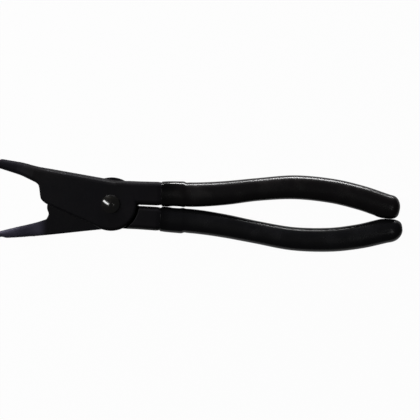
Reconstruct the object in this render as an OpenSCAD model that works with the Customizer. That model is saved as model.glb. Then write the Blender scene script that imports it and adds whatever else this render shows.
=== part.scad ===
// Snap ring pliers for external rings: squeezing the handles spreads the jaws.
// Two forged halves lie over each other and turn on one rivet. The front half carries the upper jaw
// and the upper handle, the rear half the lower jaw and the lower handle.
// The rivet's axis is the Z axis, and Z = 0 is the flat back that the tool lies on.
// +X runs along the closed handles, +Y towards the upper handle. Everything is in millimetres.

/* [Joint] */
// Thickness of each half where the two lie over each other
half_t = 5; // [4:0.25:6.5]
// Gap between the faces that slide on each other
lap_gap = 0.06; // [0.02:0.01:0.2]
// Radius of the round boss of each half
boss_r = 14.7; // [12:0.1:17.5]
// Rounding of the bosses' outer edges
boss_round = 1.8; // [0.5:0.1:2.5]
// Gap between a boss and the hollow shoulder that it turns in
shoulder_gap = 0.9; // [0.4:0.1:1.2]

/* [Forging] */
// Slope of the forged sides, from the parting plane inwards
draft = 8; // [0:0.5:10]
// Rounding of the arms' outer edges
arm_round = 2.2; // [0.5:0.1:2.5]
// Rounding of the inner edges, and size of the web's chamfer
edge_round = 0.9; // [0.3:0.1:1.2]

/* [Rivet] */
// Radius of the rivet's shank
rivet_r = 4; // [2.5:0.1:5]
// Radius of the rivet's domed head
head_r = 5; // [4:0.1:7]
// Height of the domed head
head_h = 2.4; // [1:0.1:3.5]
// Depth of the countersink that holds the rivet's tail
sink_depth = 1.5; // [0.8:0.1:2]
// Running gap between the shank and the front half
run_gap = 0.05; // [0.02:0.01:0.1]
// Gap drawn between pieces that are pressed together
seat_gap = 0.01; // [0.005:0.005:0.02]

/* [Jaws] */
// Angle of the upper jaw's inner side above the axis
upper_jaw_angle = 14.9; // [12:0.1:18]
// Angle of the lower jaw's inner side below the axis
lower_jaw_angle = 16.1; // [12:0.1:18]
// Width of each arm beside the rivet
arm_w = 13.4; // [12:0.1:14]
// Distance from the rivet to the root of each jaw
root_at = 43.6; // [40:0.1:44.5]
// Width of each jaw at its root
root_w = 7.7; // [6:0.1:9]
// Distance from the rivet to the middle of each jaw
mid_at = 53.8; // [50:0.1:56]
// Width of the upper jaw at its middle
upper_mid_w = 7.2; // [5:0.1:8]
// Width of the lower jaw at its middle
lower_mid_w = 6.1; // [5:0.1:8]
// Distance from the rivet to the shoulder of the upper jaw's nose
upper_nose_at = 65.3; // [60:0.1:66]
// Distance from the rivet to the shoulder of the lower jaw's nose
lower_nose_at = 60.7; // [58:0.1:66]
// Width of the upper jaw at the shoulder of its nose
upper_nose_w = 5.6; // [4:0.1:7]
// Width of the lower jaw at the shoulder of its nose
lower_nose_w = 4.8; // [4:0.1:7]
// Distance from the rivet to the end of each nose
nose_end = 68; // [67:0.1:80]
// Width of each nose at its end
nose_w = 3.4; // [3:0.1:4]
// Thickness of each nose at its end
nose_t = 3.6; // [3:0.1:4.5]
// Rounding of the jaws' inner edges past the lap
jaw_round = 1.6; // [0.5:0.1:2]
// Distance from the rivet at which the edges beside the lap start to be rounded
lap_end = 35; // [33:0.5:40]
// Distance from the rivet at which the jaws start to bend to the middle plane
bend_start = 45; // [44.5:0.1:48]
// Distance from the rivet at which the jaws have reached the middle plane
bend_end = 56; // [52:0.1:58]

/* [Tips] */
// Radius of the round tips
tip_r = 1.15; // [0.6:0.05:1.4]
// Length of each tip outside its nose
tip_out = 6; // [4:0.5:12]
// Length of each tip inside its nose
tip_in = 8; // [4:0.5:10]
// Radius of the part of each tip inside its nose
tip_seat_r = 0.95; // [0.5:0.05:1.2]

/* [Handles] */
// Distance from the rivet to the front of the grips
grip_at = 27.3; // [24:0.1:30]
// Thickness of the grips' sleeve
grip_wall = 1.4; // [0.8:0.1:2]
// Rounding of the grips' edges
grip_round = 3.5; // [2.5:0.1:4]
// Height of the collar at the front of the grips over the rest of the grip
collar_rise = 0.5; // [0:0.1:0.8]
// Length of the collar
collar_len = 13.4; // [8:0.1:16]
// Length of the upper grip's rounded end
upper_cap = 5; // [4:0.1:8]
// Length of the lower grip's rounded end
lower_cap = 7; // [4:0.1:8]
// Rounding of the bare neck's edges
neck_round = 1.5; // [0.5:0.1:2.5]
// Thickness of the neck where the grip starts
neck_t = 9; // [8:0.1:10]
// Distance between the end of the steel and the end of the grip
grip_past = 6; // [4:0.5:10]

/* [Hidden] */
$fn = 96;
eps = 0.01;

full_t = 2 * half_t;
mid_z = half_t;
lap_z = half_t + lap_gap / 2;
hollow_r = boss_r + shoulder_gap;
sink_r = rivet_r + 0.8 * sink_depth;
slope = tan(draft);
neck_from = 2;
shoulder_len = 2.4;
nose_root_t = nose_t + 0.8;
tip_off = nose_w / 2;
tip_chamfer = 0.3;
// Rounding of the edges beside the sliding faces, and the largest rounding for a bar's size
lap_edge = 0.2;
round_limit = 0.45;

steel_colour = [0.07, 0.07, 0.09];
rivet_colour = [0.12, 0.11, 0.12];
grip_colour = [0.05, 0.05, 0.06];
tip_colour = [0.35, 0.35, 0.38];

// Middle line of the handles: distance from the rivet, distance from the axis, width over the grip
upper_line = [
    [2, 6.7, 13], [15, 6.7, 13], [30, 7, 13.2], [46, 7.3, 13.4], [62, 8.9, 13.1], [80, 11.7, 12.5],
    [100, 13.8, 13.1], [120, 12.75, 13.3], [136, 9.75, 13.45], [148, 6.32, 13.4], [152.5, 5.48, 12.8],
    [157.6, 4.8, 12.8]
];
lower_line = [
    [2, 6.7, 13], [15, 6.7, 13], [30, 7, 13.2], [46, 7.4, 13.3], [62, 9, 12.9], [80, 11.7, 12.4],
    [100, 14.3, 12.8], [120, 13.95, 13.1], [136, 11.4, 13.4], [148, 8.14, 13.45], [152.5, 7.42, 12.75],
    [159.6, 6.75, 12.2]
];

// Rounded front edge of each half's web, from its notch to the root of its jaw
upper_lobe = [[-35.3, -1.6], [-37, -0.5], [-38.6, 1.2], [-39.3, 4.2], [-39.9, 7.6], [-41, 10]];
lower_lobe = [[-32.6, -2.6], [-34.6, -0.8], [-35.4, 2], [-35.4, 4.4], [-34.4, 7], [-35.4, 9.6]];

// Corners of the web that lie inside the boss and the arm
web_back = [[2, 2], [-6, 9], [-36, 13]];

// How far the inner side of each jaw stands out at its root: distance from the rivet, offset
upper_fillet = [[38, -4], [39.5, -4], [40.8, -2.3], [43.2, -1.25], [46.4, -0.8], [51.7, -0.1], [54, 0]];
lower_fillet = [[33, -4], [34.6, -3], [36.4, -0.4], [41.6, 0]];
// Distances from the rivet at which an arm's section is drawn as far as the root of its jaw
arm_stops = [0, 20, 34.6, 36.4, 39.5, 40.8, 43.2];

// Points on a smooth curve that passes through a list of points
function on_curve(p, t) =
    let (i = min(floor(t), len(p) - 2), f = t - i,
         a = p[max(i - 1, 0)], b = p[i], c = p[i + 1], d = p[min(i + 2, len(p) - 1)])
    b + 0.5 * f * ((c - a) + f * ((2 * a - 5 * b + 4 * c - d) + f * (3 * b - a - 3 * c + d)));

// 0 before a, 1 after b, and a soft rise between them
function soft_step(x, a, b) = let (f = max(0, min(1, (x - a) / (b - a)))) f * f * (3 - 2 * f);

// Rounded corner of a section; the quarters run anticlockwise from the one at the upper right
function corner(u, z, quarter, r, steps) = [
    for (k = [0:steps])
        let (a = 90 * (quarter + k / steps), u_side = (quarter == 0 || quarter == 3) ? 1 : -1,
             z_side = quarter < 2 ? 1 : -1)
        [u + r * (cos(a) - u_side), z + r * (sin(a) - z_side)]
];

// Outline of a bar's section: [offset, height] pairs, with a rounding for each quarter. Sloped sides
// are widest in the parting plane.
function section(u0, u1, z0, z1, r, steps, side_slope = 0) =
    let (part_z = max(mid_z, z0 + max(r[2], r[3]) + 0.5 * lap_edge), up = side_slope * (z1 - part_z),
         down = side_slope * (part_z - z0))
    concat(
        corner(u1 - up, z1, 0, r[0], steps), corner(u0 + up, z1, 1, r[1], steps),
        side_slope > 0 ? [[u0, part_z]] : [],
        corner(u0 + down, z0, 2, r[2], steps), corner(u1 - down, z0, 3, r[3], steps),
        side_slope > 0 ? [[u1, part_z]] : []
    );

// A section set upright at a point of the plan, square to a direction
function upright(ring, at, dir) = [for (p = ring) [at.x - p.x * dir.y, at.y + p.x * dir.x, p.y]];

// Solid through a row of sections
module skin(rings) {
    n = len(rings[0]);
    m = len(rings);
    polyhedron(
        points = [for (ring = rings, p = ring) p],
        faces = concat(
            [[for (k = [0:n - 1]) k]],
            [[for (k = [n - 1:-1:0]) (m - 1) * n + k]],
            [for (i = [0:m - 2], k = [0:n - 1])
                let (a = i * n + k, b = i * n + (k + 1) % n)
                each [[a, a + n, b], [b, a + n, b + n]]]
        )
    );
}

// Arm and jaw of a half, from the rivet to the end of the nose
module jaw(angle, mid_w, nose_at, nose_shoulder_w, fillet) {
    dir = [-cos(angle), sin(angle)];
    shoulder_end = min(nose_at + shoulder_len, nose_end - eps);
    widths = [[0, arm_w], [root_at, root_w], [mid_at, mid_w], [nose_at, nose_shoulder_w],
        [shoulder_end, nose_w + 0.1], [nose_end, nose_w]];
    root = arm_stops[len(arm_stops) - 1];
    stops = concat(arm_stops, [for (k = [1:9]) root + (nose_at - root) * k / 9], [shoulder_end, nose_end]);
    skin([
        for (s = stops)
            let (bend = soft_step(s, bend_start, bend_end),
                 w = lookup(s, widths),
                 t = lookup(s, [[bend_start, full_t - lap_z], [nose_at, nose_root_t], [nose_end, nose_t]]),
                 z0 = lap_z + bend * (mid_z - t / 2 - lap_z),
                 z1 = full_t + bend * (mid_z + t / 2 - full_t),
                 past_lap = soft_step(s, lap_end, bend_start),
                 r_out = min(arm_round, round_limit * min(t, w)),
                 r_in = min(edge_round + past_lap * (jaw_round - edge_round), round_limit * min(t, w)))
            upright(section(-w, -lookup(s, fillet), z0, z1,
                [r_in, r_out, max(lap_edge, past_lap * r_out), max(lap_edge, past_lap * r_in)], 3, slope),
                s * dir, dir)
    ]);
}

// Flat web of a half between its boss, its arm and its notch, with its open edges chamfered
module web(lobe) {
    notch = lobe[0];
    meet_r = boss_r - 2 * lap_edge;
    turn = atan2(notch.y, notch.x) + acos(meet_r / norm(notch));
    points = concat(
        web_back,
        [for (k = [12:-1:0]) on_curve(lobe, k * (len(lobe) - 1) / 12)],
        [meet_r * [cos(turn), sin(turn)]]
    );
    skin([
        [for (p = points) [p.x, p.y, lap_z]],
        [for (p = points) [p.x, p.y, full_t - edge_round]],
        [for (p = inset(points, edge_round)) [p.x, p.y, full_t]]
    ]);
}

// Outline, drawn anticlockwise, moved inwards by a distance
function inset(p, d) = [
    for (i = [0:len(p) - 1])
        let (n = len(p), a = p[(i + n - 1) % n], b = p[i], c = p[(i + 1) % n],
             u = (b - a) / norm(b - a), v = (c - b) / norm(c - b),
             nu = [-u.y, u.x], nv = [-v.y, v.x])
        b + d * (nu + nv) / (1 + nu * nv)
];

// Point, direction and width of a handle at a place on its middle line
function handle_dir(line, t) =
    let (a = on_curve(line, max(0, t - 0.05)), b = on_curve(line, min(len(line) - 1, t + 0.05)),
         d = [b.x - a.x, b.y - a.y])
    d / norm(d);

// Place on the middle line that lies at a distance x from the rivet
function handle_at(line, x, lo = 0, hi = -1) =
    let (h = hi < 0 ? len(line) - 1 : hi, m = (lo + h) / 2)
    h - lo < 0.001 ? m : on_curve(line, m).x < x ? handle_at(line, x, m, h) : handle_at(line, x, lo, m);

// How far the steel lies inside the grip's surface
function tang_inset(x) = grip_wall * soft_step(x, grip_at - 2.5, grip_at + 5);

// Steel of a handle: bare neck, and the tang inside the grip, made larger all round by grow
module tang(line, from, grow = 0) {
    end_x = line[len(line) - 1].x - grip_past + grow;
    taper_len = 14;
    taper = 2.5;
    stops = concat([from, 15, 20, grip_at - 2, grip_at, grip_at + 1.5, grip_at + 3, grip_at + 5],
        [for (k = [1:9]) grip_at + 5 + (end_x - 5 - grip_at) * k / 9]);
    r = neck_round;
    skin([
        for (x = [for (x = stops) if (x >= from) x])
            let (t = handle_at(line, x), p = on_curve(line, t), in = tang_inset(x) - grow,
                 w = p.z / 2 - in - taper * pow(max(0, (x - end_x) / taper_len + 1), 2),
                 h = lookup(x, [[12, full_t / 2], [grip_at, neck_t / 2], [grip_at + 5, half_t]]) - in)
            upright(section(-w, w, mid_z - h, mid_z + h, [r, r, r, r], 2, slope), [p.x, p.y],
                handle_dir(line, t))
    ]);
}

// Outer shape of a grip, with its collar and its rounded end
module grip_body(line, cap) {
    end_x = line[len(line) - 1].x;
    collar_end = grip_at + collar_len;
    lip = 0.6 * collar_rise;
    outer_rise = [[grip_at, -0.1], [grip_at + 0.8, 0.1], [grip_at + 2, 0.5 * collar_rise],
        [grip_at + 5, 0.8 * collar_rise], [collar_end - 1.4, collar_rise], [collar_end, -0.1],
        [collar_end + 1.6, 0]];
    inner_rise = [[grip_at, -0.1], [grip_at + 0.8, lip], [grip_at + 2, lip], [grip_at + 5, 0],
        [collar_end - 3, 0], [collar_end - 1.4, lip], [collar_end, 0]];
    stops = concat([for (r = outer_rise) r.x],
        [for (k = [1:11]) collar_end + 1.6 + (end_x - cap - collar_end - 1.6) * k / 11],
        [for (a = [25, 45, 62, 76]) end_x - cap + cap * sin(a)]);
    skin([
        for (x = stops)
            let (t = handle_at(line, x), p = on_curve(line, t),
                 f = x > end_x - cap ? sqrt(1 - pow((x - end_x + cap) / cap, 2)) : 1,
                 w_in = (p.z / 2 + lookup(x, inner_rise)) * f,
                 w_out = (p.z / 2 + lookup(x, outer_rise)) * f,
                 h = lookup(x, [[grip_at, neck_t / 2], [grip_at + 4, half_t]]) * (0.35 + 0.65 * f),
                 r = min(grip_round, 0.75 * h, 0.75 * w_in))
            upright(section(-w_in, w_out, mid_z - h, mid_z + h, [r, r, r, r], 4), [p.x, p.y],
                handle_dir(line, t))
    ]);
}

// Round boss in the front layer, open at the top where the arm and the neck take over
module boss() {
    flat_top = arm_w - 2 * arm_round;
    intersection() {
        rotate_extrude() {
            translate([0, lap_z]) square([boss_r - boss_round, full_t - lap_z]);
            translate([0, lap_z]) square([boss_r, full_t - lap_z - boss_round]);
            translate([boss_r - boss_round, full_t - boss_round]) circle(boss_round);
        }
        translate([-boss_r - 1, -boss_r - 1, 0]) cube([2 * boss_r + 2, boss_r + 1 + flat_top, full_t + 1]);
    }
}

// One half, drawn as the front one: its boss, web and jaw in the front layer, its neck full thickness
module half(angle, mid_w, nose_at, nose_shoulder_w, fillet, lobe, line) {
    dir = [-cos(angle), sin(angle)];
    across = [sin(angle), cos(angle)];
    difference() {
        union() {
            boss();
            web(lobe);
            jaw(angle, mid_w, nose_at, nose_shoulder_w, fillet);
            tang(line, neck_from);
        }
        translate([0, 0, -1]) cylinder(r = hollow_r, h = lap_z + 1);
        translate([0, 0, mid_z]) tip_hole(dir, across);
    }
}

// Hole in the nose that takes a tip
module tip_hole(dir, across) {
    start = (nose_end - tip_in) * dir + tip_off * across;
    translate([start.x, start.y, 0]) rotate([0, 90, atan2(dir.y, dir.x)])
        cylinder(r = tip_seat_r + seat_gap, h = tip_in + 1);
}

module tip(angle) {
    dir = [-cos(angle), sin(angle)];
    across = [sin(angle), cos(angle)];
    base = (nose_end + seat_gap) * dir + tip_off * across;
    translate([base.x, base.y, mid_z]) rotate([0, 90, atan2(dir.y, dir.x)]) {
        translate([0, 0, -tip_in]) cylinder(r = tip_seat_r, h = tip_in + eps);
        cylinder(r = tip_r, h = tip_out - tip_chamfer);
        translate([0, 0, tip_out - tip_chamfer])
            cylinder(r1 = tip_r, r2 = tip_r - tip_chamfer, h = tip_chamfer);
    }
}

// Turns what is drawn for the front half into the rear half
module turned_over() {
    translate([0, 0, full_t]) rotate([180, 0, 0]) children();
}

module front_half() {
    color(steel_colour) difference() {
        half(upper_jaw_angle, upper_mid_w, upper_nose_at, upper_nose_w, upper_fillet, upper_lobe, upper_line);
        translate([0, 0, -1]) cylinder(r = rivet_r + run_gap, h = full_t + 2);
    }
}

module rear_half() {
    color(steel_colour) difference() {
        turned_over()
            half(lower_jaw_angle, lower_mid_w, lower_nose_at, lower_nose_w, lower_fillet, lower_lobe,
                lower_line);
        translate([0, 0, -1]) cylinder(r = rivet_r + seat_gap, h = full_t + 2);
        translate([0, 0, -eps])
            cylinder(r1 = sink_r + seat_gap, r2 = rivet_r + seat_gap, h = sink_depth + seat_gap + eps);
    }
}

module pivot_rivet() {
    dome_r = (head_r * head_r + head_h * head_h) / (2 * head_h);
    head_z = full_t + run_gap;
    color(rivet_colour) {
        cylinder(r = rivet_r, h = head_z + eps);
        cylinder(r1 = sink_r, r2 = rivet_r, h = sink_depth);
        translate([0, 0, head_z]) intersection() {
            cylinder(r = head_r, h = head_h + 1);
            translate([0, 0, head_h - dome_r]) sphere(dome_r);
        }
    }
}

module grip(line, cap) {
    difference() {
        grip_body(line, cap);
        tang(line, grip_at - 2, seat_gap);
    }
}

module upper_grip() {
    color(grip_colour) grip(upper_line, upper_cap);
}

module lower_grip() {
    color(grip_colour) turned_over() grip(lower_line, lower_cap);
}

module upper_tip() {
    color(tip_colour) tip(upper_jaw_angle);
}

module lower_tip() {
    color(tip_colour) turned_over() tip(lower_jaw_angle);
}

front_half();
rear_half();
pivot_rivet();
upper_grip();
lower_grip();
upper_tip();
lower_tip();
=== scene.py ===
import math
import bmesh
import bpy
from mathutils import Matrix, Vector, noise


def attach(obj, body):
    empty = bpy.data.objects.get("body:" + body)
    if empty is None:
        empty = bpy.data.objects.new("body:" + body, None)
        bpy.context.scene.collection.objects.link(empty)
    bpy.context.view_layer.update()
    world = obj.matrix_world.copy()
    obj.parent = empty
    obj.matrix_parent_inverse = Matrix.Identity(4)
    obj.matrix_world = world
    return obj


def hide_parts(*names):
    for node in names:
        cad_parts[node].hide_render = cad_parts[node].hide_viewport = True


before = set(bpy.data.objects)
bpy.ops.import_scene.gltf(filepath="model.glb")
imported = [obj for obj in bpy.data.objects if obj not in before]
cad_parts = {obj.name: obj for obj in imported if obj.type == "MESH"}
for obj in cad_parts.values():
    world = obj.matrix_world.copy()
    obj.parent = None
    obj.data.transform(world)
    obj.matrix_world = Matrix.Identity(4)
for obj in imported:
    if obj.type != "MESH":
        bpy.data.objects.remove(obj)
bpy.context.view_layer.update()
scene = bpy.context.scene
mm = 0.001
print("frame loaded:", ", ".join(sorted(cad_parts)))


class Wire:                                          # a socket that can stand in a sum
    def __init__(self, nodes, socket):
        self.nodes, self.socket = nodes, socket

    def maths(self, operation, a, b):
        node = self.nodes.add("ShaderNodeMath", {"operation": operation}, {0: a, 1: b})
        return Wire(self.nodes, node.outputs[0])

    def __add__(self, other):
        return self.maths("ADD", self, other)

    def __radd__(self, other):
        return self.maths("ADD", other, self)

    def __sub__(self, other):
        return self.maths("SUBTRACT", self, other)

    def __rsub__(self, other):
        return self.maths("SUBTRACT", other, self)

    def __mul__(self, other):
        return self.maths("MULTIPLY", self, other)

    def __rmul__(self, other):
        return self.maths("MULTIPLY", other, self)

    def step(self, low, high):                       # 0 below low, 1 above high, soft between
        node = self.nodes.add("ShaderNodeMapRange", {"interpolation_type": "SMOOTHSTEP"},
                              {"Value": self, "From Min": low, "From Max": high})
        return Wire(self.nodes, node.outputs[0])


class Nodes:                                         # puts nodes in one tree
    def __init__(self, tree):
        self.tree = tree
        tree.nodes.clear()

    def add(self, kind, settings={}, sockets={}):
        node = self.tree.nodes.new(kind)
        for name, value in settings.items():
            setattr(node, name, value)
        self.plug(node, sockets)
        return node

    def plug(self, node, sockets):
        for name, value in sockets.items():
            if isinstance(value, Wire):
                value = value.socket
            if isinstance(value, bpy.types.NodeSocket):
                self.tree.links.new(value, node.inputs[name])
            else:
                node.inputs[name].default_value = value

    def shown(self, mirrored):                       # 1 to the camera, less in a reflection
        path = self.add("ShaderNodeLightPath").outputs
        return Wire(self, path["Is Camera Ray"]) + mirrored * (
            Wire(self, path["Is Glossy Ray"]) + Wire(self, path["Is Transmission Ray"]))


class Finish(Nodes):                                 # one material round a Principled shader
    def __init__(self, name, **fixed):
        self.material = bpy.data.materials.new(name)
        self.material.use_nodes = True
        super().__init__(self.material.node_tree)
        self.shader = self.add("ShaderNodeBsdfPrincipled", {}, fixed)
        self.output = self.add("ShaderNodeOutputMaterial", {},
                               {"Surface": self.shader.outputs[0]})

    def spots(self, size, detail, rough, shift=(0, 0, 0)):   # size in mm
        where = self.add("ShaderNodeTexCoord").outputs["Object"]
        where = self.add("ShaderNodeMapping", {}, {"Vector": where, "Location": shift})
        node = self.add("ShaderNodeTexNoise", {}, {
            "Vector": where.outputs[0], "Scale": 1 / (size * mm), "Detail": detail,
            "Roughness": rough})
        return Wire(self, node.outputs["Fac"])

    def patches(self, spots, levels, shift=(0, 0, 0)):   # spots that fade in between two levels
        return self.spots(*spots, shift).step(*levels)

    def place(self, axis):                           # distance from the rivet along an axis, in mm
        where = self.add("ShaderNodeTexCoord").outputs["Object"]
        parts = self.add("ShaderNodeSeparateXYZ", {}, {0: where}).outputs
        return Wire(self, parts[axis]) * (1 / mm)

    def edges(self):                                 # above 0.5 on raised edges, below in corners
        return Wire(self, self.add("ShaderNodeNewGeometry").outputs["Pointiness"])

    def colours(self, mask, low, high):
        low, high = [(*c, 1) if isinstance(c, tuple) else c for c in (low, high)]
        node = self.add("ShaderNodeMix", {"data_type": "RGBA"}, {0: mask, 6: low, 7: high})
        return node.outputs[2]

    def bump(self, height, depth):                   # depth in mm
        return self.add("ShaderNodeBump", {}, {"Height": height, "Distance": depth * mm}).outputs[0]


# In each look, a pattern is its size in mm, detail and roughness, and the levels it fades in
# between. Places are in mm from the rivet.
steelLook = {
    "oxide": (0.0076, 0.0073, 0.0092), "brownOxide": (0.0100, 0.0092, 0.0102),
    "bare": (0.024, 0.024, 0.028), "bareShare": 0.7, "bareMetal": 0.15, "bareShine": 0.08,
    "roughness": 0.36, "specular": 0.05,
    "patches": ((22, 3, 0.6), (0.35, 0.68)),
    "smudges": ((5, 5, 0.65), (0.42, 0.75)), "smudgeDull": 0.14,
    "wear": ((3, 4, 0.7), (0.38, 0.62)), "wornEdge": (0.53, 0.60),
    "grain": (0.55, 2, 0.5), "grainDull": 0.08, "grainBump": 0.5,
    "scale": (2.6, 3, 0.6), "bumpDepth": 0.028,
    # jaw: painted sheen, a lighter tone on the jaws where their sloping faces catch the light
    "jaw": (0.0096, 0.0091, 0.0130), "jawFrom": (44, 56), "armFrom": (34, 42), "armDull": 0.18,
    # neck: painted light, a lighter tone from the boss out along the necks, where the lamps light
    # them less
    "neck": (0.0134, 0.0124, 0.0150), "neckFrom": (2, 13), "neckShare": 0.5, "edgeHighlight": 0,
    "shift": (0, 0, 0),
}
# the lower jaw's far lighter tone is painted sheen
rearLook = dict(steelLook, jaw=(0.0545, 0.0515, 0.0765), jawFrom=(34.5, 40.0), armDull=0,
                edgeHighlight=1.0, shift=(3, 1, 0))
# A painted highlight along the inner edge of the lower jaw: a leaning line, how far the painted
# highlight reaches in from it, where along the jaw it begins and ends, and how high it lies
paintedEdgeHighlight = {
    "aside": -0.985, "lean": 0.279, "deep": (0.3, 1.5), "from": (35, 38), "to": (43, 50),
    "high": (8.0, 9.4), "colour": (0.17, 0.165, 0.19),
}


def forgedSteel(name, look):
    finish = Finish(name, **{"Specular IOR Level": look["specular"]})
    patches = finish.patches(*look["patches"], look["shift"])
    smudges = finish.patches(*look["smudges"], look["shift"])
    grain = finish.spots(*look["grain"])
    scale = finish.spots(*look["scale"])
    fromRivet = finish.place("X")
    along = fromRivet * -1                           # towards the jaws
    armDull = along.step(*look["armFrom"]) * look["armDull"]
    edge = paintedEdgeHighlight
    depth = along * -edge["lean"] + edge["aside"] - finish.place("Y")
    # here rubbed is no wear: it masks the painted highlight along the lower jaw's inner edge
    rubbed = (1 - depth.step(*edge["deep"])) * along.step(*edge["from"])
    rubbed = rubbed * (1 - along.step(*edge["to"])) * finish.place("Z").step(*edge["high"])
    worn = finish.edges().step(*look["wornEdge"]) * finish.patches(*look["wear"])
    neck = fromRivet.step(*look["neckFrom"]) * look["neckShare"]
    colour = finish.colours(patches, look["oxide"], look["brownOxide"])
    # painted light on the necks
    colour = finish.colours(neck, colour, look["neck"])
    # painted sheen on the jaws
    colour = finish.colours(along.step(*look["jawFrom"]), colour, look["jaw"])
    # painted highlight along the lower jaw's inner edge
    colour = finish.colours(rubbed * look["edgeHighlight"], colour, edge["colour"])
    colour = finish.colours(worn * look["bareShare"], colour, look["bare"])
    dull = smudges * look["smudgeDull"] + grain * look["grainDull"] + look["roughness"]
    finish.plug(finish.shader, {
        "Base Color": colour,
        "Roughness": dull - worn * look["bareShine"] + armDull,
        "Metallic": worn * look["bareMetal"],
        "Normal": finish.bump(grain * look["grainBump"] + scale, look["bumpDepth"]),
    })
    return finish.material


# The start is the front of the sleeve by the steel, darkened with painted shade, and the collar is
# the glossier stretch there
vinylLook = {
    "black": (0.0036, 0.0028, 0.0033), "rubbed": (0.0072, 0.0060, 0.0062),
    "roughness": 0.25, "specular": 0.5,
    "rubs": ((14, 4, 0.6), (0.45, 0.72)), "rubDull": 0.06,
    "dust": ((1.1, 5, 0.7), (0.60, 0.74)), "dustColour": (0.02, 0.02, 0.022),
    "dustShare": 0.25, "dustDull": 0.04,
    "wave": (7, 2, 0.4), "pores": (0.4, 2, 0.5), "poreBump": 0.02, "bumpDepth": 0.05,
    "startEnd": (27.5, 42.0), "startShade": (0.0003, 0.0003, 0.0004), "startGloss": 0.05,
    "collarEnd": (38, 46), "collarGloss": 0.08, "shift": (0, 0, 0),
}
lowerVinylLook = dict(
    vinylLook, black=(0.0039, 0.0039, 0.0050), rubbed=(0.0066, 0.0066, 0.0084), roughness=0.24,
    # startShade: painted shade at the lower sleeve's front
    startEnd=(27.5, 34.0), startShade=(0.0016, 0.0016, 0.0020), shift=(5, 0, 2))


def dippedVinyl(name, look):
    finish = Finish(name, **{"Specular IOR Level": look["specular"]})
    rubbed = finish.patches(*look["rubs"], look["shift"])
    dust = finish.patches(*look["dust"])
    wave = finish.spots(*look["wave"], look["shift"])
    pores = finish.spots(*look["pores"])
    fromRivet = finish.place("X")
    start = 1 - fromRivet.step(*look["startEnd"])
    collar = 1 - fromRivet.step(*look["collarEnd"])
    gloss = start * look["startGloss"] + collar * look["collarGloss"]
    colour = finish.colours(rubbed, look["black"], look["rubbed"])
    colour = finish.colours(dust * look["dustShare"], colour, look["dustColour"])
    dull = rubbed * look["rubDull"] + dust * look["dustDull"] + look["roughness"]
    finish.plug(finish.shader, {
        # painted shade at the sleeve's front, where it meets the steel
        "Base Color": finish.colours(start, colour, look["startShade"]),
        "Roughness": dull - gloss,
        "Normal": finish.bump(wave + pores * look["poreBump"], look["bumpDepth"]),
    })
    return finish.material


rivetLook = {
    "oxide": (0.0012, 0.0009, 0.0006), "bare": (0.0070, 0.0058, 0.0038), "bareMetal": 0.1,
    "roughness": 0.14, "specular": 1.0, "oil": 1.0, "oilRoughness": 0.12,
    "rubs": ((2.2, 4, 0.6), (0.45, 0.7)), "rubDull": 0.08,
    "hammer": (1.6, 2, 0.4), "bumpDepth": 0.012,
}


def rivetSteel(name, look):
    finish = Finish(name, **{"Specular IOR Level": look["specular"], "Coat Weight": look["oil"],
                             "Coat Roughness": look["oilRoughness"]})
    rubbed = finish.patches(*look["rubs"])
    finish.plug(finish.shader, {
        "Base Color": finish.colours(rubbed, look["oxide"], look["bare"]),
        "Metallic": rubbed * look["bareMetal"],
        "Roughness": rubbed * look["rubDull"] + look["roughness"],
        "Normal": finish.bump(finish.spots(*look["hammer"]), look["bumpDepth"]),
    })
    return finish.material


tipLook = {
    "steel": (0.11, 0.11, 0.12), "dark": (0.035, 0.035, 0.04), "metal": 0.9, "darkMetal": 0.6,
    "roughness": 0.33, "specular": 0.5,
    "stains": ((1.8, 4, 0.6), (0.4, 0.65)), "stainDull": 0.15,
    "grain": (0.3, 2, 0.5), "bumpDepth": 0.01,
}


def tipSteel(name, look):
    finish = Finish(name, **{"Specular IOR Level": look["specular"]})
    stain = finish.patches(*look["stains"])
    finish.plug(finish.shader, {
        "Base Color": finish.colours(stain, look["steel"], look["dark"]),
        "Metallic": stain * (look["darkMetal"] - look["metal"]) + look["metal"],
        "Roughness": stain * look["stainDull"] + look["roughness"],
        "Normal": finish.bump(finish.spots(*look["grain"]), look["bumpDepth"]),
    })
    return finish.material


def newPiece(name, bm, material, body, nodes):
    mesh = bpy.data.meshes.new(name)
    bm.to_mesh(mesh)
    bm.free()
    mesh.polygons.foreach_set("use_smooth", [True] * len(mesh.polygons))
    mesh.materials.append(material)
    piece = bpy.data.objects.new(name, mesh)
    scene.collection.objects.link(piece)
    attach(piece, body)
    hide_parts(*nodes)
    print(name, len(mesh.polygons), "faces")


def crispEdges(edges, angle):                        # edges sharper than the angle shade crisp
    for edge in edges:
        edge.smooth = edge.calc_face_angle(0) < math.radians(angle)


# The forged halves: the CAD solid made even, so that its corners run into each other as in a die
forging = {
    "merge": 0.002, "cell": 0.34, "melt": 3, "soften": 0.5, "restore": -0.53, "unevenSize": 9,
    "uneven": 0.05,
}
frontForging = {"name": "frontForging", "node": "front_half", "body": "front_lever", "seed": 2}
rearForging = {"name": "rearForging", "node": "rear_half", "body": "rear_lever", "seed": 7}


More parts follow.
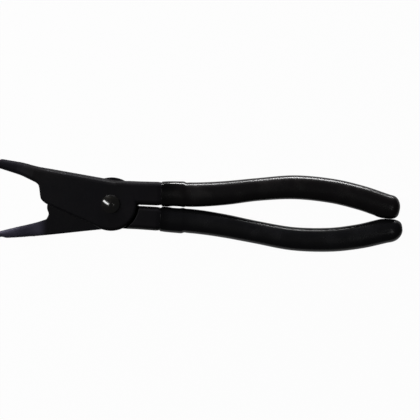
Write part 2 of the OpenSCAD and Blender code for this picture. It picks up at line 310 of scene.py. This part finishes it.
def forgedHalf(settings, material, s=forging):
    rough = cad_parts[settings["node"]].data.copy()
    bm = bmesh.new()
    bm.from_mesh(rough)
    low, high = [pick(v.co.z for v in bm.verts) for pick in (min, max)]
    bmesh.ops.remove_doubles(bm, verts=bm.verts, dist=s["merge"] * mm)
    bm.to_mesh(rough)
    bm.free()
    blank = bpy.data.objects.new(settings["name"] + "Blank", rough)
    scene.collection.objects.link(blank)
    even = blank.modifiers.new("even", "REMESH")
    even.mode, even.voxel_size, even.adaptivity = "VOXEL", s["cell"] * mm, 0
    evaluated = blank.evaluated_get(bpy.context.evaluated_depsgraph_get())
    made = bpy.data.meshes.new_from_object(evaluated)
    bpy.data.objects.remove(blank)
    bm = bmesh.new()
    bm.from_mesh(made)
    for factor in (s["soften"], s["restore"]) * s["melt"]:   # the second undoes the shrinkage
        bmesh.ops.smooth_vert(bm, verts=bm.verts, factor=factor, use_axis_x=True,
                              use_axis_y=True, use_axis_z=True)
    bm.normal_update()
    away = Vector((settings["seed"], 0, 0))
    for v in bm.verts:
        lift = noise.noise(v.co / (s["unevenSize"] * mm) + away) * s["uneven"] * mm
        v.co += v.normal * min(lift, 0)
        v.co.z = min(max(v.co.z, low), high)
    newPiece(settings["name"], bm, material, settings["body"], [settings["node"]])


forgedHalf(frontForging, forgedSteel("blackForging", steelLook))
forgedHalf(rearForging, forgedSteel("blackForgingRear", rearLook))
print("forged halves made")


# Middle line of each handle in mm: along, aside, width over the sleeve
upperSleeve = {
    "name": "upperSleeve", "node": "upper_grip", "body": "front_lever", "side": 1,
    "cap": 5.0, "meets": -0.972,
    "line": [(2, 6.7, 13), (15, 6.7, 13), (30, 7, 13.2), (46, 7.3, 13.4), (62, 8.9, 13.1),
             (80, 11.7, 12.5), (100, 13.8, 13.1), (120, 12.75, 13.3), (136, 9.75, 13.45),
             (148, 6.32, 13.5), (152.5, 5.48, 12.92), (157.6, 4.8, 12.8)],
}
lowerSleeve = {
    "name": "lowerSleeve", "node": "lower_grip", "body": "rear_lever", "side": -1,
    "cap": 7.0, "meets": 0.988,
    "line": [(2, 6.7, 13), (15, 6.7, 13), (30, 7, 13.2), (46, 7.4, 13.3), (62, 9, 12.9),
             (80, 11.7, 12.4), (100, 14.3, 12.8), (120, 13.95, 13.1), (136, 11.4, 13.4),
             (148, 8.14, 13.55), (152.5, 7.42, 12.87), (159.5, 6.75, 12.2)],
}
# What both sleeves share, in mm. The rises are added to the width, by the distance from the front
# or from the collar's end; the steps are the places of the rings, and capTurns those of the end.
sleeve = {
    "front": 27.3, "collar": 13.4, "middle": 5.0, "halfHeight": 5.0, "frontHalfHeight": 4.5,
    "wall": 1.4, "fit": 0.03, "insetFrom": (-2.5, 5), "neckEnd": 12, "tangRise": 5,
    "tangEnd": 6.0, "taper": 2.5, "taperLength": 14, "draft": math.tan(math.radians(8)),
    "ring": 48, "squareness": 2.5, "endSquareness": 2.6, "tangSquareness": 6,
    "lip": (0.1, 0.2), "lipLow": 0.3, "crisp": 0.6, "crispAngle": 30,
    "frontStep": 0.01, "frontRise": 12.0, "endFlat": 0.35, "endFrom": 0.3, "blunt": 0.5,
    "collarsMeet": (0, 0.8, 4, 5.2), "meetsAtFront": 0.025,
    "meetsFrom": 140, "meetsAt": 151.3, "wedge": 0.05,
    "outerFront": [(0, -0.1), (0.35, 0.12), (1.2, 0.2), (3, 0.32), (6, 0.42)],
    "outerEnd": [(-2.2, 0.5), (-1.3, 0.47), (-0.5, 0.15), (0, -0.1), (0.6, -0.1), (1.8, 0)],
    "innerFront": [(0, -0.1), (0.8, 0.25), (1.8, 0.275), (3.6, 0.15), (5, 0)],
    "innerEnd": [(-3, 0), (-1.6, 0.275), (-0.9, 0.225), (0, -0.05), (1.2, 0)],
    "frontSteps": (0, 0.1, 0.13, 0.16, 0.2, 0.25, 0.32, 0.5, 0.9, 1.4, 2.2, 3.2, 4.5, 6.5, 8.5),
    "collarSteps": (-3, -2.5, -2, -1.6, -1.2, -0.8, -0.4, 0, 0.4, 0.8, 1.3, 1.9),
    "gripSteps": 64, "tangSteps": 22, "capTurns": (10, 20, 30, 40, 50, 59, 67, 74, 80, 85, 88.5),
}


def onLine(line, x, halvings=24):                    # smooth curve through the points, at x
    i = max(k for k in range(len(line) - 1) if line[k][0] <= x or k == 0)
    a, b, c, d = [Vector(line[min(max(k, 0), len(line) - 1)]) for k in range(i - 1, i + 3)]
    low, high = 0.0, 1.0
    for halving in range(halvings):
        f = (low + high) / 2
        bend = (2 * a - 5 * b + 4 * c - d) + f * (3 * b - a - 3 * c + d)
        point = b + 0.5 * f * ((c - a) + f * bend)
        low, high = (f, high) if point.x < x else (low, f)
    return point


def heading(line, x, reach=0.3):                     # which way the curve runs at x
    ahead, behind = onLine(line, min(x + reach, line[-1][0])), onLine(line, x - reach)
    return Vector((ahead.x - behind.x, ahead.y - behind.y)).normalized()


def level(x, table):                                 # straight lines between the pairs of a table
    if x <= table[0][0]:
        return table[0][1]
    for (x0, y0), (x1, y1) in zip(table, table[1:]):
        if x <= x1:
            return y0 + (y1 - y0) * (x - x0) / (x1 - x0)
    return table[-1][1]


def softLevel(x, low, high):                         # 0 below low, 1 above high, soft between
    f = min(max((x - low) / (high - low), 0), 1)
    return f * f * (3 - 2 * f)


def placeRing(verts, settings, x, inner, outer, high, squareness, draft=0.0):
    line, side = settings["line"], settings["side"]
    here, along = onLine(line, x), heading(line, x)
    for k, v in enumerate(verts):
        turn = 2 * math.pi * (k + 0.5) / len(verts)
        c, s = math.cos(turn), math.sin(turn)
        across = (outer if c > 0 else inner) * math.copysign(abs(c) ** (2 / squareness), c)
        up = high * math.copysign(abs(s) ** (2 / squareness), s)
        across -= math.copysign(draft * abs(up), c)
        v.co = Vector((here.x - along.y * across, side * (here.y + along.x * across),
                       sleeve["middle"] + up)) * mm


def gripSleeve(settings, material, s=sleeve):
    line, cap, front = settings["line"], settings["cap"], s["front"]
    end, collarEnd = line[-1][0], front + s["collar"]
    tangEnd = end - s["tangEnd"]
    outerRise, innerRise = [
        [(start + x, y) for start, part in ((front, "Front"), (collarEnd, "End"))
         for x, y in s[side + part]] for side in ("outer", "inner")]
    bm = bmesh.new()
    ring = bmesh.ops.create_circle(bm, segments=s["ring"], radius=mm)["verts"]
    ring = sorted(ring, key=lambda v: math.atan2(v.co.y, v.co.x) % (2 * math.pi))
    rings = []

    def station(x, inner, outer, high, squareness, draft=0.0):   # the next ring
        nonlocal ring
        if rings:
            edges = [bm.edges.get((ring[k - 1], ring[k])) for k in range(len(ring))]
            grown = bmesh.ops.extrude_edge_only(bm, edges=edges)["geom"]
            grown = {v for v in grown if isinstance(v, bmesh.types.BMVert)}
            ring = [next(e.other_vert(v) for e in v.link_edges if e.other_vert(v) in grown)
                    for v in ring]
        placeRing(ring, settings, x, inner, outer, high, squareness, draft)
        rings.append(ring)

    def inside(x):                                   # wall of the hollow round the tang
        inset = s["wall"] * softLevel(x - front, *s["insetFrom"])
        taper = s["taper"] * max(0, (x - tangEnd) / s["taperLength"] + 1) ** 2
        high = level(x, [(s["neckEnd"], s["halfHeight"]), (front, s["frontHalfHeight"]),
                         (front + s["tangRise"], s["halfHeight"])])
        return onLine(line, x).z / 2 - inset - taper + s["fit"], high - inset + s["fit"]

    for k in range(s["tangSteps"] + 1):              # from the tang's end out to the front
        x = tangEnd - (tangEnd - front) * k / s["tangSteps"]
        wide, high = inside(x)
        station(x, wide, wide, high, s["tangSquareness"], s["draft"])

    steps = [front + step for step in s["frontSteps"]]
    steps += [collarEnd + step for step in s["collarSteps"]]
    last, count = steps[-1], s["gripSteps"]
    steps += [last + (end - cap - last) * k / count for k in range(1, count + 1)]
    steps += [end - cap + cap * math.sin(math.radians(turn)) for turn in s["capTurns"]]
    steelWide, steelHigh = inside(front)
    topLine = [(front, s["frontHalfHeight"] + s["frontStep"]),
               (front + s["frontRise"], s["halfHeight"])]
    for x in steps:                                  # and back over the outside to the round end
        f = math.sqrt(max(0, 1 - ((x - end + cap) / cap) ** 2)) if x > end - cap else 1
        here, blunt = onLine(line, x), min(1, f ** s["blunt"])
        lip = s["lipLow"] + (1 - s["lipLow"]) * softLevel(x - front, *s["lip"])
        inner, outer = [steelWide + (here.z / 2 + level(x, rise) - steelWide) * lip
                        for rise in (innerRise, outerRise)]
        high = steelHigh + (level(x, topLine) - steelHigh) * lip
        inner *= blunt                               # the inner corner of the end is the squarer
        if x > s["meetsFrom"]:                       # the ends meet
            meeting = (here.y - settings["meets"]) / heading(line, x).x
            wedge = s["wedge"] * max(0, s["meetsAt"] - x) ** 2
            inner = min(max(inner, (meeting - wedge) * blunt), meeting)
        grow, grown, shrink, shrunk = s["collarsMeet"]
        atFront = softLevel(x - front, grow, grown) * (1 - softLevel(x - front, shrink, shrunk))
        inner += atFront * (here.y - s["meetsAtFront"] - inner)
        station(x, inner, outer * f, high * (s["endFlat"] + (1 - s["endFlat"]) * f),
                s["endSquareness"] if f < s["endFrom"] else s["squareness"])
    for rim in (rings[0], rings[-1]):
        edges = [bm.edges.get((rim[k - 1], rim[k])) for k in range(len(rim))]
        bmesh.ops.contextual_create(bm, geom=edges)
    bmesh.ops.recalc_face_normals(bm, faces=bm.faces)
    behind = (front + s["crisp"]) * mm               # the low lip on the steel is crisp
    crispEdges([edge for edge in bm.edges if max(v.co.x for v in edge.verts) < behind],
               s["crispAngle"])
    newPiece(settings["name"], bm, material, settings["body"], [settings["node"]])


gripSleeve(upperSleeve, dippedVinyl("vinylUpper", vinylLook))
gripSleeve(lowerSleeve, dippedVinyl("vinylLower", lowerVinylLook))
print("sleeves made")


def spun(profile, steps, matrix, merge=0.001, crispAngle=35):   # in mm, turned about Z
    bm = bmesh.new()
    verts = [bm.verts.new((r, 0, z)) for r, z in profile]
    edges = [bm.edges.new(pair) for pair in zip(verts, verts[1:])]
    bmesh.ops.spin(bm, geom=verts + edges, cent=(0, 0, 0), axis=(0, 0, 1), angle=2 * math.pi,
                   steps=steps, use_merge=True)
    bmesh.ops.remove_doubles(bm, verts=bm.verts, dist=merge)
    bmesh.ops.transform(bm, matrix=Matrix.Scale(mm, 4) @ matrix, verts=bm.verts)
    bmesh.ops.recalc_face_normals(bm, faces=bm.faces)
    crispEdges(bm.edges, crispAngle)
    return bm


rivet = {
    "shank": 4.0, "head": 5.0, "headLow": 10.05, "headHigh": 2.4, "rim": 0.68, "rimLow": 0.08,
    "sink": 5.2, "sinkDeep": 1.5, "sinkRim": 0.05, "ease": 0.1, "domeSteps": 14, "steps": 96,
}


def domedRivet(s, material):
    rise = s["headHigh"] - s["rim"]
    dome = (s["head"] ** 2 + rise ** 2) / (2 * rise)
    top, low = s["headLow"] + s["headHigh"], s["headLow"]
    turns = [math.asin(s["head"] / dome) * k / s["domeSteps"] for k in range(s["domeSteps"] + 1)]
    profile = [(dome * math.sin(turn), top - dome + dome * math.cos(turn)) for turn in turns]
    profile += [(s["head"], low + s["rimLow"]), (s["head"] - s["ease"], low), (s["shank"], low),
                (s["shank"], s["sinkDeep"]), (s["sink"], s["sinkRim"]),
                (s["sink"] - s["ease"], 0), (0, 0)]
    bm = spun(profile, s["steps"], Matrix())
    newPiece("domedRivet", bm, material, "rear_lever", ["pivot_rivet"])


domedRivet(rivet, rivetSteel("rivetSteel", rivetLook))


upperPin = {"name": "upperPin", "node": "upper_tip", "body": "front_lever", "angle": 14.9, "side": 1}
lowerPin = {"name": "lowerPin", "node": "lower_tip", "body": "rear_lever", "angle": 16.1, "side": -1}
tips = {
    "radius": 1.15, "seatRadius": 0.95, "noseEnd": 68, "inside": 8, "outside": 6, "aside": 1.7,
    "high": 5, "chamfer": 0.3, "round": (0.08, 0.12), "fit": 0.01, "steps": 48,
}


def pressedTip(settings, material, s=tips):
    angle, side = math.radians(settings["angle"]), settings["side"]
    along = Vector((-math.cos(angle), side * math.sin(angle), 0))
    across = Vector((math.sin(angle), side * math.cos(angle), 0))
    start = along * (s["noseEnd"] + s["fit"]) + across * s["aside"] + Vector((0, 0, s["high"]))
    seat, radius, end, chamfer = s["seatRadius"], s["radius"], s["outside"], s["chamfer"]
    profile = [(0, -s["inside"]), (seat, -s["inside"]), (seat, 0), (radius, 0),
               (radius, end - chamfer), (radius - s["round"][0], end - s["round"][1]),
               (radius - chamfer, end), (0, end)]
    turned = along.to_track_quat("Z", "Y").to_matrix().to_4x4()
    bm = spun(profile, s["steps"], Matrix.Translation(start) @ turned)
    newPiece(settings["name"], bm, material, settings["body"], [settings["node"]])


pin = tipSteel("tipSteel", tipLook)
pressedTip(upperPin, pin)
pressedTip(lowerPin, pin)
print("rivet and tips made")


# Black steel and vinyl mirror a dark room, so only part of the white floor and of the white
# surround goes into a reflection
floorLook = {
    "colour": (0.85, 0.85, 0.85), "aside": (0.02, 0.02, 0.02), "roughness": 0.9, "specular": 0.1,
    "bright": 0.97, "mirrored": 0.4, "size": 3.0, "along": 0.05, "below": 0.05,
}
worldLook = {"shade": 0.015, "mirrored": 0.03}


def paleFloor(s):
    bm = bmesh.new()
    bmesh.ops.create_grid(bm, x_segments=1, y_segments=1, size=s["size"])
    bmesh.ops.translate(bm, verts=bm.verts, vec=(s["along"], 0, -s["below"] * mm))
    mesh = bpy.data.meshes.new("floor")
    bm.to_mesh(mesh)
    bm.free()
    floor = bpy.data.objects.new("floor", mesh)
    scene.collection.objects.link(floor)
    finish = Finish("paleFloor", **{"Roughness": s["roughness"],
                                    "Specular IOR Level": s["specular"]})
    seen = finish.shown(s["mirrored"])
    finish.plug(finish.shader, {"Base Color": finish.colours(seen, s["aside"], s["colour"])})
    glow = finish.add("ShaderNodeEmission", {}, {"Color": (1, 1, 1, 1), "Strength": 1.0})
    both = finish.add("ShaderNodeMixShader", {}, {
        0: seen * s["bright"], 1: finish.shader.outputs[0], 2: glow.outputs[0]})
    finish.plug(finish.output, {"Surface": both.outputs[0]})
    mesh.materials.append(finish.material)


def whiteSurround(s):
    world = bpy.data.worlds.new("studio")
    scene.world = world
    world.use_nodes = True
    nodes = Nodes(world.node_tree)
    dim, white = [nodes.add("ShaderNodeBackground", {}, {
        "Color": (1, 1, 1, 1), "Strength": strength}) for strength in (s["shade"], 1)]
    both = nodes.add("ShaderNodeMixShader", {}, {
        0: nodes.shown(s["mirrored"]), 1: dim.outputs[0], 2: white.outputs[0]})
    nodes.add("ShaderNodeOutputWorld", {}, {"Surface": both.outputs[0]})


paleFloor(floorLook)
whiteSurround(worldLook)

# Each lamp: where it stands, what it looks at, size across and high in metres, watts, and its turn
lamps = {
    "lowWindow": {"at": (0.17, 1.15, 0.062), "to": (0.09, 0, 0.01), "size": (0.60, 0.10),
                  "watts": 12, "spin": 0},
    "sideWindow": {"at": (-0.52, 1.05, 0.065), "to": (-0.04, 0, 0.01), "size": (0.25, 0.10),
                   "watts": 11, "spin": 0},
    "leftWindow": {"at": (-0.52, 0.134, 0.595), "to": (0, 0, 0.012), "size": (0.16, 0.80),
                   "watts": 3.0, "spin": -16},
    "smallLamp": {"at": (0.43, -0.08, 1.33), "to": (0, 0, 0), "size": (0.06, 0.06),
                  "watts": 0.15, "spin": 0},
}
for name, s in lamps.items():
    light = bpy.data.lights.new(name, "AREA")
    light.shape, light.size, light.size_y, light.energy = "RECTANGLE", *s["size"], s["watts"]
    lamp = bpy.data.objects.new(name, light)
    scene.collection.objects.link(lamp)
    lamp.location = s["at"]
    aim = (Vector(s["to"]) - Vector(s["at"])).to_track_quat("-Z", "Y").to_matrix()
    lamp.rotation_euler = (aim @ Matrix.Rotation(math.radians(s["spin"]), 3, "Z")).to_euler()

# The photo's view: the point it looks at and the distance in mm, and the turns in degrees
cameraSet = {
    "middle": (54.205, -0.737, 5.0), "away": 1017.0, "roll": -2.660, "tiltAside": -0.204,
    "tiltAlong": -2.648, "pixelsPerMm": 1.8269, "pixels": 420, "sensor": 36.0, "clip": (0.01, 20),
}


def photoCamera(s):
    data = bpy.data.cameras.new("photoCamera")
    camera = bpy.data.objects.new("photoCamera", data)
    scene.collection.objects.link(camera)
    data.sensor_width = s["sensor"]
    data.lens = s["sensor"] * s["away"] * s["pixelsPerMm"] / s["pixels"]
    data.clip_start, data.clip_end = s["clip"]
    along, aside, roll = [Matrix.Rotation(math.radians(s[turn]), 4, axis) for turn, axis in
                          (("tiltAlong", "Y"), ("tiltAside", "X"), ("roll", "Z"))]
    back = Matrix.Translation((0, 0, s["away"] * mm))
    middle = Matrix.Translation(Vector(s["middle"]) * mm)
    camera.matrix_world = middle @ (along @ aside @ roll).inverted() @ back
    scene.camera = camera


photoCamera(cameraSet)
scene.view_settings.view_transform = "Standard"
print("floor, lamps and camera placed")

bpy.context.view_layer.update()
